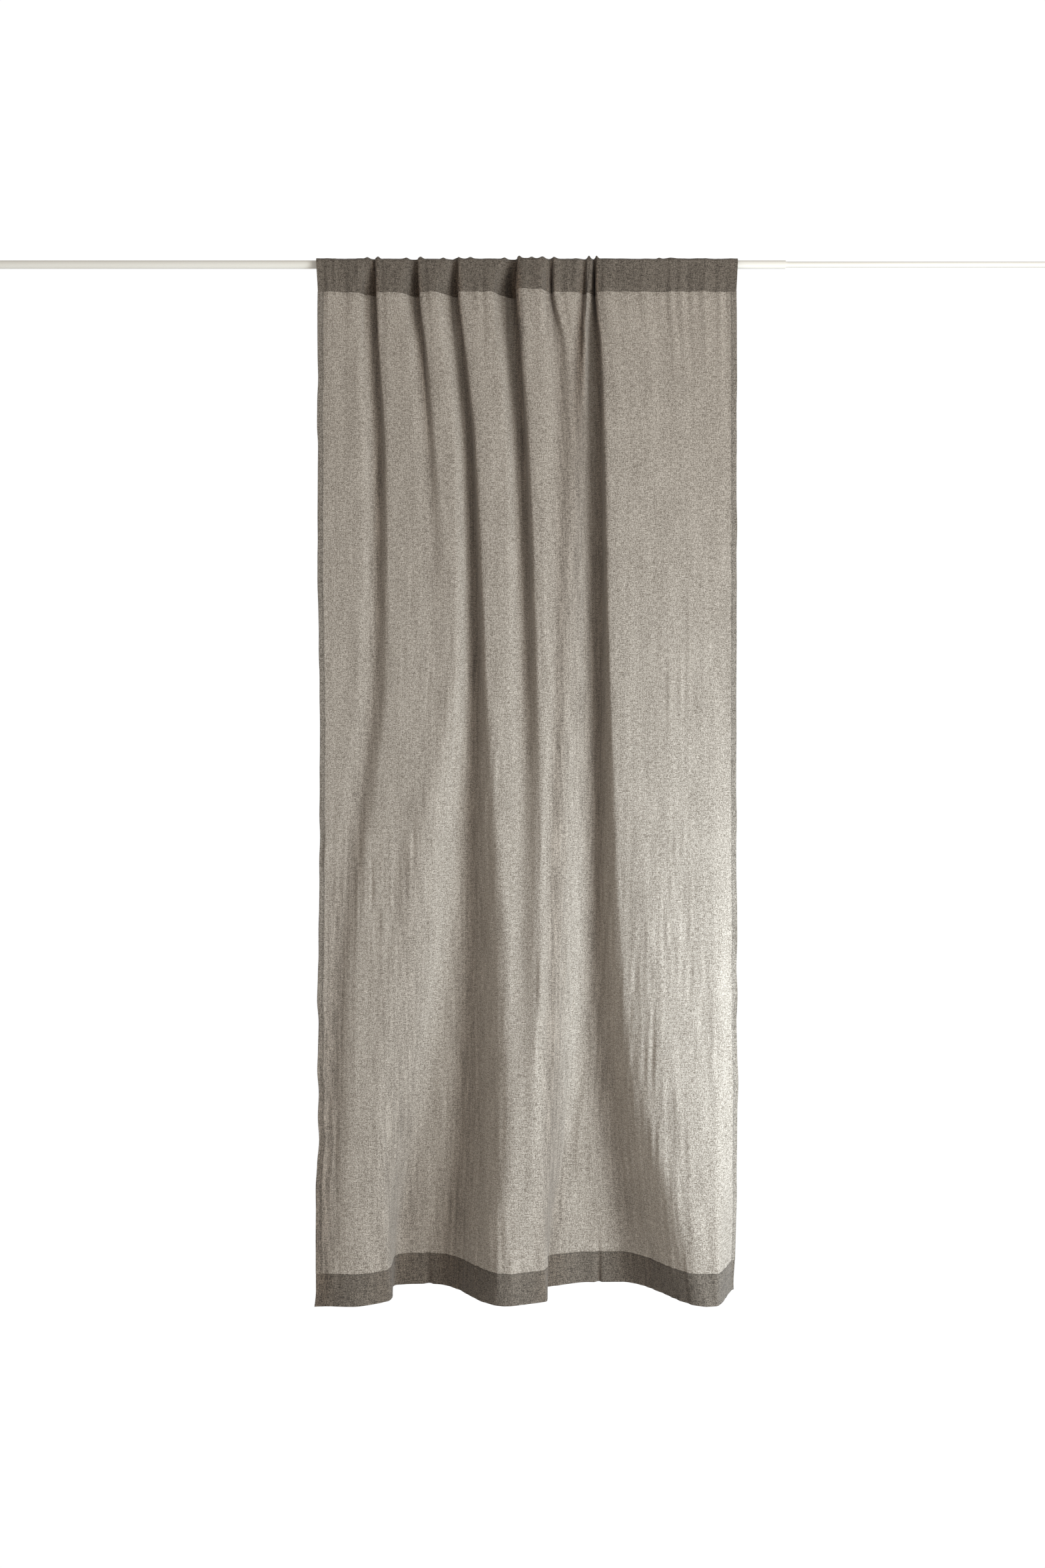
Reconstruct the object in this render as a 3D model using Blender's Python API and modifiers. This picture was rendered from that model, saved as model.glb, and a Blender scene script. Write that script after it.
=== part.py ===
"""Linen room curtain panel with a rod pocket, gathered on a slim telescopic rod.

Run with: blender --background --python part.py
Units are metres, +Z up, +X to the right and -Y towards the room. The origin is on the rod's axis,
half way along the hung panel. The panel is a flat width of cloth with a turned pocket at its head,
narrow hems down both sides and a deep hem along its foot. Every layer of cloth is a solid of its
own, an air gap away from the cloth that it is sewn to.
"""

import math
from functools import lru_cache

import bmesh
import bpy
import numpy as np

# Cloth
CLOTH = 0.0008  # thickness of one solid layer of cloth
GAP = 0.0003  # air between neighbouring solids
HUNG_WIDTH = 1.004  # between the side edges, gathered on the rod
FLAT_WIDTH = 1.400  # of the finished panel, spread out
DROP = 2.500  # from the pocket's top edge to the hem's lower edge
POCKET_DEPTH = 0.078  # from the pocket's top edge to its seam
SIDE_HEM = 0.016
BOTTOM_HEM = 0.075
SEAM_INSET = 0.003  # from a hem's sewn edge to its thread
THREAD = 0.0007
LABEL_LENGTH = 0.045
LABEL_COLUMN = 6  # the column of cloth behind which the label hangs
LABEL_COLUMNS = 2

# Rod
ROD_RADIUS = 0.0095
TUBE_WALL = 0.0008
INNER_RADIUS = 0.0068
ROD_LEFT = -1.300
ROD_RIGHT = 1.300
TUBE_MOUTH = 0.620  # x of the outer tube's open end
INNER_HIDDEN = 0.500  # length of the inner tube inside the outer one
MOUTH_BUSH = 0.025
GUIDE_BUSH = 0.030
PLUG_FACE = 0.003
PLUG_SPIGOT = 0.020
ROUND_SIDES = 32

# Fineness of the cloth's solids
COLUMNS = 84
CROWN_ROWS = 8
POCKET_ROWS = 2
FACE_HEIGHTS = (0.24, 0.48, 0.72, 0.96, 1.28, 1.60, 2.00)  # rows of the face, below the axis

# Sizes and places that follow from those above
LEFT_EDGE = -HUNG_WIDTH / 2
RIGHT_EDGE = HUNG_WIDTH / 2
LAYER_STEP = CLOTH + GAP
POCKET_RADIUS = (ROD_RADIUS + GAP) / math.cos(math.pi / 2 / CROWN_ROWS) + CLOTH / 2
TOP_EDGE = POCKET_RADIUS + CLOTH / 2
SEAM_DOWN = POCKET_DEPTH - TOP_EDGE
FOOT_DOWN = DROP - TOP_EDGE
FACE_HEAD = SEAM_DOWN + GAP
HEM_HEAD = FOOT_DOWN - BOTTOM_HEM
HEM_LINE = HEM_HEAD + SEAM_INSET
POCKET_LINE = SEAM_DOWN - SEAM_INSET
CLOSING_DOWN = 1.3 * ROD_RADIUS  # where the pocket's two sides begin to close below the rod

# Heights, below the rod's axis, at which the folds are described
LEVELS = (0.0, 0.07, 0.48, 0.96, 1.60, 2.40)


class Fold:
    """A fold that turns away from the room at one place and comes back at another.

    back and front are the x of the two turns, back_run and front_run their widths, and depth how far
    the cloth stands back between them, all at each of LEVELS.
    """

    def __init__(self, back, front, depth, back_run, front_run):
        self.back = back
        self.front = front
        self.depth = depth
        self.back_run = back_run
        self.front_run = front_run


NARROW = (0.026, 0.034, 0.036, 0.044, 0.050, 0.060)
SHARP = (0.018, 0.024, 0.030, 0.040, 0.050, 0.060)
FOLDS = (
    Fold(
        back=(-0.379, -0.384, -0.375, -0.387, -0.445, -0.475),
        front=(-0.357, -0.357, -0.340, -0.333, -0.381, -0.410),
        depth=(0.016, 0.030, 0.028, 0.018, 0.014, 0.010),
        back_run=NARROW,
        front_run=SHARP,
    ),
    Fold(
        back=(-0.277, -0.279, -0.238, -0.220, -0.217, -0.225),
        front=(-0.253, -0.253, -0.202, -0.161, -0.161, -0.169),
        depth=(0.016, 0.030, 0.020, 0.008, 0.005, 0.004),
        back_run=NARROW,
        front_run=SHARP,
    ),
    Fold(
        back=(-0.188, -0.192, -0.163, -0.164, -0.241, -0.322),
        front=(-0.164, -0.161, -0.124, -0.107, -0.097, -0.110),
        depth=(0.016, 0.030, 0.040, 0.046, 0.080, 0.145),
        back_run=(0.026, 0.034, 0.040, 0.055, 0.060, 0.055),
        front_run=(0.018, 0.024, 0.036, 0.050, 0.090, 0.130),
    ),
    Fold(
        back=(-0.046, -0.056, -0.032, -0.026, -0.033, -0.046),
        front=(-0.021, -0.022, 0.005, 0.030, 0.024, 0.014),
        depth=(0.016, 0.030, 0.036, 0.028, 0.014, 0.006),
        back_run=NARROW,
        front_run=SHARP,
    ),
    Fold(
        back=(0.056, 0.055, 0.065, 0.078, 0.086, 0.086),
        front=(0.077, 0.075, 0.090, 0.110, 0.113, 0.113),
        depth=(0.014, 0.020, 0.006, 0.005, 0.008, 0.004),
        back_run=NARROW,
        front_run=SHARP,
    ),
    Fold(
        back=(0.143, 0.140, 0.145, 0.140, 0.123, 0.065),
        front=(0.165, 0.165, 0.181, 0.190, 0.231, 0.333),
        depth=(0.016, 0.032, 0.044, 0.052, 0.085, 0.145),
        back_run=(0.026, 0.034, 0.040, 0.055, 0.070, 0.055),
        front_run=(0.018, 0.024, 0.034, 0.050, 0.100, 0.170),
    ),
)
# At the foot the right-hand edge curls back, away from the room.
EDGE_CURL = (0.0, 0.0, 0.0, 0.002, 0.012, 0.045)
EDGE_CURL_INWARD = 0.032  # from the edge to the middle of the curl
EDGE_CURL_RUN = 0.080


def ease(share):
    """0 before the stretch, 1 after it and a smooth step between."""
    t = np.clip(share, 0.0, 1.0)
    return t * t * (3 - 2 * t)


def at_height(values, down):
    """The value that runs smoothly through values, which are given at LEVELS."""
    i = min(max(int(np.searchsorted(LEVELS, down, side="right")) - 1, 0), len(LEVELS) - 2)
    share = (down - LEVELS[i]) / (LEVELS[i + 1] - LEVELS[i])
    return values[i] + (values[i + 1] - values[i]) * ease(share)


def turn(x, centre, run):
    """A smooth step in x, from 0 to 1 over run."""
    return ease((x - centre) / run + 0.5)


def fold_depth(x, down):
    """How far the cloth stands back from its foremost plane at x, at one height."""
    curl = turn(x, RIGHT_EDGE - EDGE_CURL_INWARD, EDGE_CURL_RUN)
    total = at_height(EDGE_CURL, down) * curl
    for fold in FOLDS:
        back = turn(x, at_height(fold.back, down), at_height(fold.back_run, down))
        front = turn(x, at_height(fold.front, down), at_height(fold.front_run, down))
        total = total + at_height(fold.depth, down) * (back - front)
    return total


def column_shares():
    """Where the columns of cloth lie across the flat width, 0 at its left edge and 1 at its right.

    The hems' edges and both sides of their threads are columns, so that the layers match.
    """
    line = SIDE_HEM - SEAM_INSET
    edge = [0.0, (line - THREAD / 2) / FLAT_WIDTH, (line + THREAD / 2) / FLAT_WIDTH,
            SIDE_HEM / FLAT_WIDTH]
    middle = np.linspace(edge[-1], 1 - edge[-1], COLUMNS - 5)
    return np.concatenate((edge[:-1], middle, [1 - share for share in reversed(edge[:-1])]))


SHARES = column_shares()
SIDES = {"left": slice(0, 4), "right": slice(-4, None)}  # columns of each side's hem
THREADS = {"left": slice(1, 3), "right": slice(-3, -1)}  # and of its thread


@lru_cache(maxsize=None)
def section(down):
    """x and y of the cloth's columns at one height, with the cloth's weight under the rod."""
    along = np.linspace(LEFT_EDGE, RIGHT_EDGE, 2001)
    depth = fold_depth(along, down)
    y = depth - depth.mean()
    run = np.concatenate(([0.0], np.cumsum(np.hypot(np.diff(along), np.diff(y)))))
    x = np.interp(SHARES * run[-1], run, along)
    return x, np.interp(x, along, y)


def face_row(down):
    """One row of points on the middle of the single cloth."""
    x, y = section(down)
    return np.stack((x, y, np.full_like(x, -down)), axis=1)


def gather_bulge(x):
    """How far the pocket stands off the rod between its gathers, at the rod's height."""
    reach = np.linspace(-0.030, 0.030, 13)
    deepest = np.max([fold_depth(x + step, 0.0) for step in reach], axis=0)
    return deepest - fold_depth(x, 0.0)


def crown_row(share):
    """One row of the pocket's cloth over the rod, share 0 at its front and 1 at its back."""
    x = section(SEAM_DOWN)[0]
    angle = share * math.pi
    radius = POCKET_RADIUS + gather_bulge(x) * (1 - 0.6 * math.sin(angle))
    return np.stack((x, -radius * math.cos(angle), radius * math.sin(angle)), axis=1)


def lap(distance):
    """The step along y that takes each column of the seam that distance square off the cloth."""
    x, y = section(SEAM_DOWN)
    return distance * np.hypot(1, np.gradient(y, x))


def pocket_row(down, side):
    """One row of the pocket's cloth below the rod's axis: side is -1 for its front, 1 for its back."""
    x, seam_y = section(SEAM_DOWN)
    radius = POCKET_RADIUS + gather_bulge(x)
    if side > 0:
        seam_y = seam_y + lap(LAYER_STEP + CLOTH / 2)
    share = ease((down - CLOSING_DOWN) / (SEAM_DOWN - CLOSING_DOWN))
    y = side * radius + (seam_y - side * radius) * share
    return np.stack((x, y, np.full_like(x, -down)), axis=1)


def moved(points, distance):
    """The surface of points, moved along its normals away from the room."""
    across = np.gradient(points, axis=1)
    down = np.gradient(points, axis=0)
    normals = np.cross(across, down)
    normals /= np.linalg.norm(normals, axis=2, keepdims=True)
    return points + normals * distance


def clear_scene():
    """Removes whatever the startup scene holds."""
    for obj in list(bpy.data.objects):
        bpy.data.objects.remove(obj, do_unlink=True)


def material(name, colour, roughness, metallic=0.0):
    """A plain Principled material."""
    made = bpy.data.materials.new(name)
    made.use_nodes = True
    shader = made.node_tree.nodes["Principled BSDF"]
    shader.inputs["Base Color"].default_value = (*colour, 1.0)
    shader.inputs["Roughness"].default_value = roughness
    shader.inputs["Metallic"].default_value = metallic
    return made


def link(name, mesh, finish, collection):
    """An object of the mesh, with its material, in the collection."""
    obj = bpy.data.objects.new(name, mesh)
    obj.data.materials.append(finish)
    collection.objects.link(obj)
    return obj


def layer(name, points, finish, collection, thickness=CLOTH):
    """A layer of cloth or thread: a grid laid on rows of points, given its thickness."""
    rows, columns = points.shape[0] - 1, points.shape[1] - 1
    grid = bmesh.new()
    bmesh.ops.create_grid(grid, x_segments=columns, y_segments=rows, size=0.5)
    for vertex in grid.verts:
        column = round((vertex.co.x + 0.5) * columns)
        row = round((0.5 - vertex.co.y) * rows)
        vertex.co = points[row, column]
    bmesh.ops.triangulate(grid, faces=grid.faces[:], quad_method="FIXED")
    mesh = bpy.data.meshes.new(name)
    grid.to_mesh(mesh)
    grid.free()
    obj = link(name, mesh, finish, collection)
    solid = obj.modifiers.new("thickness", "SOLIDIFY")
    solid.thickness = thickness
    solid.offset = 0.0
    solid.use_even_offset = True
    return obj


def turned(name, profile, finish, collection, closed=False):
    """A round piece about the rod's axis: profile is (radius, x) points, down the outer side first."""
    mesh = bpy.data.meshes.new(name)
    edges = [(i, i + 1) for i in range(len(profile) - 1)]
    if closed:
        edges.append((len(profile) - 1, 0))
    mesh.from_pydata([(radius, 0.0, x) for radius, x in profile], edges, [])
    obj = link(name, mesh, finish, collection)
    obj.rotation_euler = (0.0, math.pi / 2, 0.0)
    screw = obj.modifiers.new("turn", "SCREW")
    screw.axis = "Z"
    screw.steps = ROUND_SIDES
    screw.render_steps = ROUND_SIDES
    screw.use_merge_vertices = True
    screw.merge_threshold = 0.00001
    return obj


def tube_profile(outer, inner, left, right):
    """A plain tube's section."""
    return ((outer, right), (outer, left), (inner, left), (inner, right))


def rod(lacquer, plastic, collection):
    """The telescopic rod: two tubes, their bushes and their end plugs."""
    bore = ROD_RADIUS - TUBE_WALL
    inner_bore = INNER_RADIUS - TUBE_WALL
    outer_left = ROD_LEFT + PLUG_FACE + GAP
    inner_left = TUBE_MOUTH - INNER_HIDDEN
    inner_right = ROD_RIGHT - PLUG_FACE - GAP
    turned("outer_tube", tube_profile(ROD_RADIUS, bore, outer_left, TUBE_MOUTH),
           lacquer, collection, closed=True)
    turned("inner_tube", tube_profile(INNER_RADIUS, inner_bore, inner_left, inner_right),
           lacquer, collection, closed=True)
    for name, left, length in (("mouth_bush", TUBE_MOUTH - MOUTH_BUSH, MOUTH_BUSH),
                               ("guide_bush", inner_left, GUIDE_BUSH)):
        turned(name, tube_profile(bore - GAP, INNER_RADIUS + GAP, left, left + length),
               plastic, collection, closed=True)
    left_spigot = outer_left + PLUG_SPIGOT
    turned("left_end_plug",
           ((0.0, left_spigot), (bore - GAP, left_spigot),
            (bore - GAP, ROD_LEFT + PLUG_FACE), (ROD_RADIUS, ROD_LEFT + PLUG_FACE),
            (ROD_RADIUS, ROD_LEFT), (0.0, ROD_LEFT)),
           plastic, collection)
    right_spigot = inner_right - PLUG_SPIGOT
    turned("right_end_plug",
           ((0.0, ROD_RIGHT), (INNER_RADIUS, ROD_RIGHT),
            (INNER_RADIUS, ROD_RIGHT - PLUG_FACE), (inner_bore - GAP, ROD_RIGHT - PLUG_FACE),
            (inner_bore - GAP, right_spigot), (0.0, right_spigot)),
           plastic, collection)


def pocket(doubled, thread, collection):
    """The pocket's front, crown and back, and the seam that closes it."""
    crown = np.array([crown_row(i / CROWN_ROWS) for i in range(CROWN_ROWS + 1)])
    layer("pocket_crown", crown, doubled, collection)
    closing = np.linspace(CLOSING_DOWN, POCKET_LINE - THREAD / 2, POCKET_ROWS + 1)
    heights = [GAP, *closing, POCKET_LINE + THREAD / 2, SEAM_DOWN]
    front = np.array([pocket_row(down, -1) for down in heights])
    back = np.array([pocket_row(down, 1) for down in heights])
    layer("pocket_front", front, doubled, collection)
    layer("pocket_back", back, doubled, collection)
    line = front[-3:-1].copy()
    line[:, :, 1] -= lap(CLOTH / 2 + 2 * GAP + THREAD / 2)
    layer("heading_seam", line, thread, collection, thickness=THREAD)


def drop(linen, doubled, thread, label, collection):
    """The single cloth below the pocket, the hems behind its edges and their seams."""
    heights = (FACE_HEAD, *FACE_HEIGHTS, HEM_HEAD, HEM_LINE - THREAD / 2, HEM_LINE + THREAD / 2,
               FOOT_DOWN)
    face = np.array([face_row(down) for down in heights])
    layer("face_panel", face, linen, collection)
    behind = moved(face, LAYER_STEP)
    layer("bottom_hem", behind[-4:], doubled, collection)
    seams = moved(face, -(CLOTH / 2 + GAP + THREAD / 2))
    layer("bottom_hem_seam", seams[-3:-1], thread, collection, thickness=THREAD)
    for side, columns in SIDES.items():
        strip = behind[:-3, columns].copy()
        strip[-1] += (strip[-2] - strip[-1]) * GAP / (heights[-4] - heights[-5])
        layer(f"{side}_side_hem", strip, doubled, collection)
    for side, columns in THREADS.items():
        layer(f"{side}_hem_seam", seams[:-3, columns], thread, collection, thickness=THREAD)
    tab_columns = slice(LABEL_COLUMN, LABEL_COLUMN + LABEL_COLUMNS + 1)
    tab = moved(face, 2 * LAYER_STEP + GAP)[-2:, tab_columns].copy()
    tab[-1] = tab[0] + (tab[-1] - tab[0]) * LABEL_LENGTH / (heights[-1] - heights[-2])
    layer("care_label", tab, label, collection, thickness=THREAD)


def main():
    """Builds the whole curtain in a collection of its own."""
    clear_scene()
    collection = bpy.data.collections.new("curtain_panel")
    bpy.context.scene.collection.children.link(collection)
    linen = material("linen", (0.36, 0.32, 0.27), 0.95)
    doubled = material("doubled_linen", (0.20, 0.18, 0.15), 0.95)
    thread = material("sewing_thread", (0.24, 0.21, 0.18), 0.8)
    lacquer = material("cream_lacquer", (0.85, 0.81, 0.74), 0.4)
    plastic = material("cream_plastic", (0.82, 0.78, 0.70), 0.5)
    label = material("label_tape", (0.80, 0.78, 0.73), 0.8)
    rod(lacquer, plastic, collection)
    pocket(doubled, thread, collection)
    drop(linen, doubled, thread, label, collection)


main()
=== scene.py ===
"""A linen curtain panel gathered on a telescopic rod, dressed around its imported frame.

The cloth hangs in six main folds, with softer shapings between them and at the foot. Each turns
away from the room at one place and comes back at another, and its turns, their widths and its
depth are given at ten heights. The hems and stitches are laid on the same hung surface as the
cloth, so that the layers always match.
"""

from __future__ import annotations

import logging
import math
from dataclasses import dataclass
from enum import Enum
from typing import Any, Callable, Sequence, Union

import bpy
import numpy as np
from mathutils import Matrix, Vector


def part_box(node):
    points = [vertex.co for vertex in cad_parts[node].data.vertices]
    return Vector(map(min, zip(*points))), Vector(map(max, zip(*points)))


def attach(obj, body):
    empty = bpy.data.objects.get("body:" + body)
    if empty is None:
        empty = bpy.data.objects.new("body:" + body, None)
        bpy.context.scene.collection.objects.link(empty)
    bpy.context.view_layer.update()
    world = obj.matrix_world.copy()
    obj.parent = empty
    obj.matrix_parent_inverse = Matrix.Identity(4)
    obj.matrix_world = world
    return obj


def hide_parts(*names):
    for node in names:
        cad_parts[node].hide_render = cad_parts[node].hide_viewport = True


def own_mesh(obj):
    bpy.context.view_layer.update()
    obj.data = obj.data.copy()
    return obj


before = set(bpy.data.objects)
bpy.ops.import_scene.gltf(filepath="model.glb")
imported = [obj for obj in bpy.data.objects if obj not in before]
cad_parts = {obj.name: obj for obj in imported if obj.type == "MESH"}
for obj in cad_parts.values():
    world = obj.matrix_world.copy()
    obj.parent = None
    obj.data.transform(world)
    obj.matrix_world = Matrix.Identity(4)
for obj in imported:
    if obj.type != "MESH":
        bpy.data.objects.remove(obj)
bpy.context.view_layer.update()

MILLIMETRE = 0.001
TAKE_UP = 0.016  # how much shorter the cloth hangs where its folds slant

LOG = logging.getLogger("curtain")
Colour = tuple[float, float, float]
Cells = tuple[float, float, float]
Levels = tuple[float, ...]

# Heights, in metres below the rod's axis, at which the folds are described: the rod, the heading
# seam, seven heights down the panel and the foot.
LEVELS: Levels = (0.0, 0.067, 0.20, 0.48, 0.96, 1.28, 1.60, 2.00, 2.30, 2.49)
SEAM_LEVEL = LEVELS[1]
NOWHERE: Levels = (0.0,) * len(LEVELS)


# ------------------------------------------------------------------------------- small helpers


def ease(share: np.ndarray) -> np.ndarray:
    """Returns a smooth step: 0 below 0, 1 above 1 and a soft S between."""
    t = np.clip(share, 0.0, 1.0)
    return t * t * (3 - 2 * t)


def hump(distance: np.ndarray, width: Any) -> np.ndarray:
    """Returns a soft bump that is 1 at no distance and falls away over width."""
    return np.exp(-((distance / width) ** 2))


def follow(values: Levels, down: np.ndarray) -> np.ndarray:
    """Follows values that are given at LEVELS with a smooth curve that never overshoots them.

    Args:
        values: One number for each of LEVELS.
        down: Heights below the rod's axis.

    Returns:
        The value at each height.
    """
    x, y = np.array(LEVELS), np.array(values, float)
    gap, rise = np.diff(x), np.diff(y) / np.diff(x)
    slope = np.concatenate(([rise[0]], np.zeros(len(x) - 2), [rise[-1]]))
    same = rise[:-1] * rise[1:] > 0
    near, far = 2 * gap[1:] + gap[:-1], gap[1:] + 2 * gap[:-1]
    before, after = np.where(same, rise[:-1], 1.0), np.where(same, rise[1:], 1.0)
    slope[1:-1] = np.where(same, (near + far) / (near / before + far / after), 0.0)
    i = np.clip(np.searchsorted(x, down, side="right") - 1, 0, len(x) - 2)
    t = np.clip((down - x[i]) / gap[i], 0.0, 1.0)
    start, end = y[i], y[i + 1]
    lift = t * t * (3 - 2 * t)
    leave = t * (1 - t) ** 2 * gap[i] * slope[i]
    arrive = t * t * (t - 1) * gap[i] * slope[i + 1]
    return start + (end - start) * lift + leave + arrive


def uneven(u: np.ndarray, v: np.ndarray, cell: tuple[float, float], seed: int) -> np.ndarray:
    """Gives soft, repeatable unevenness from -1 to 1.

    Args:
        u: Place across the cloth.
        v: Place down the cloth, of a shape that goes with u's.
        cell: The unevenness's size across and down.
        seed: The number that the unevenness starts from.

    Returns:
        The unevenness at each place.
    """
    table = np.random.default_rng(seed).uniform(-1, 1, (256, 256))
    a, b = np.broadcast_arrays(u / cell[0], v / cell[1])
    i, j = np.floor(a).astype(int), np.floor(b).astype(int)
    s, t = ease(a - i), ease(b - j)
    top = table[i % 256, j % 256] * (1 - s) + table[(i + 1) % 256, j % 256] * s
    low = table[i % 256, (j + 1) % 256] * (1 - s) + table[(i + 1) % 256, (j + 1) % 256] * s
    return top * (1 - t) + low * t


# ------------------------------------------------------------------------------------ finishes


class Value:
    """A number or colour that varies over a surface, as a node's output.

    Python's operators work on it, and each adds the Math node that does the sum.
    """

    def __init__(self, surface: Nodes, socket: bpy.types.NodeSocket) -> None:
        """Wraps one output socket of one surface's nodes."""
        self.surface = surface
        self.socket = socket

    def _sum(self, operation: str, first: Number, second: Number) -> Value:
        """Adds a Math node for an operation on two values."""
        return self.surface.node("Math", {"operation": operation}, {0: first, 1: second})

    def __add__(self, other: Number) -> Value:
        """Returns self + other."""
        return self._sum("ADD", self, other)

    def __radd__(self, other: Number) -> Value:
        """Returns other + self."""
        return self._sum("ADD", other, self)

    def __sub__(self, other: Number) -> Value:
        """Returns self - other."""
        return self._sum("SUBTRACT", self, other)

    def __rsub__(self, other: Number) -> Value:
        """Returns other - self."""
        return self._sum("SUBTRACT", other, self)

    def __mul__(self, other: Number) -> Value:
        """Returns self * other."""
        return self._sum("MULTIPLY", self, other)

    def __rmul__(self, other: Number) -> Value:
        """Returns other * self."""
        return self._sum("MULTIPLY", other, self)


Number = Union[float, Value]


class Nodes:
    """An empty tree of shader nodes, which starts with nothing in it."""

    def __init__(self, tree: bpy.types.NodeTree) -> None:
        """Clears the tree."""
        self.tree = tree
        self.tree.nodes.clear()

    def node(
        self,
        kind: str,
        settings: dict[str, Any] | None = None,
        inputs: dict[str | int, Any] | None = None,
        output: str | int = 0,
    ) -> Value | None:
        """Adds one node.

        Args:
            kind: The node's type, without its ShaderNode prefix.
            settings: The node's own settings, which are set first.
            inputs: What each input socket holds: a value, or another node's output.
            output: The output socket that is wanted.

        Returns:
            The wanted output, or None where the node is itself an output.
        """
        made = self.tree.nodes.new("ShaderNode" + kind)
        for key, setting in (settings or {}).items():
            setattr(made, key, setting)
        for key, given in (inputs or {}).items():
            if isinstance(given, Value):
                self.tree.links.new(given.socket, made.inputs[key])
            else:
                made.inputs[key].default_value = given
        return Value(self, made.outputs[output]) if made.outputs else None

    def close(self, kind: str, shader: Value) -> None:
        """Joins the last shader to a new output node of that kind."""
        self.node(kind, {}, {"Surface": shader})


class Surface(Nodes):
    """The nodes of one material, from its attributes to its output."""

    def __init__(self, name: str) -> None:
        """Starts a material.

        Args:
            name: The material's name.
        """
        self.material = bpy.data.materials.new(name)
        self.material.use_nodes = True
        super().__init__(self.material.node_tree)

    def attribute(self, name: str, output: str = "Fac") -> Value:
        """Returns one of the mesh's own attributes."""
        return self.node("Attribute", {"attribute_name": name}, output=output)

    def stretched(self, place: Value, scale: Sequence[float]) -> Value:
        """Returns a place with each of its axes scaled by its own number."""
        return self.node("VectorMath", {"operation": "MULTIPLY"}, {0: place, 1: scale})

    def noise(self, place: Value, scale: Sequence[float], detail: float = 2.0) -> Value:
        """Returns noise from about -1 to 1, with scale cells in a metre along each axis."""
        inputs = {"Vector": self.stretched(place, scale), "Scale": 1.0, "Detail": detail}
        return self.node("TexNoise", {}, inputs) * 2.0 - 1.0

    def wave(self, place: Value, turns: float) -> Value:
        """Returns a sine of a place, with that many turns in a metre."""
        return self.node("Math", {"operation": "SINE"}, {0: place * (math.tau * turns)})

    def blended(self, share: Number, first: Any, second: Any) -> Value:
        """Returns a colour between two, by a share that is kept from 0 to 1."""
        settings = {"data_type": "RGBA", "clamp_factor": True}
        return self.node("Mix", settings, {"Factor": share, 6: first, 7: second}, output=2)

    def bumped(self, height: Value, depth: float) -> Value:
        """Returns the normal of a surface raised by height times depth, in metres."""
        return self.node("Bump", {}, {"Height": height, "Distance": depth, "Strength": 1.0})

    def shader(self, inputs: dict[str | int, Any]) -> Value:
        """Returns a Principled shader with those inputs."""
        return self.node("BsdfPrincipled", {}, inputs)

    def finished(self, shader: Value) -> bpy.types.Material:
        """Joins the last shader to the output, and returns the material."""
        self.close("OutputMaterial", shader)
        return self.material


def rgba(colour: Colour) -> tuple[float, float, float, float]:
    """Returns a colour as a colour socket takes it."""
    return (*colour, 1.0)


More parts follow.
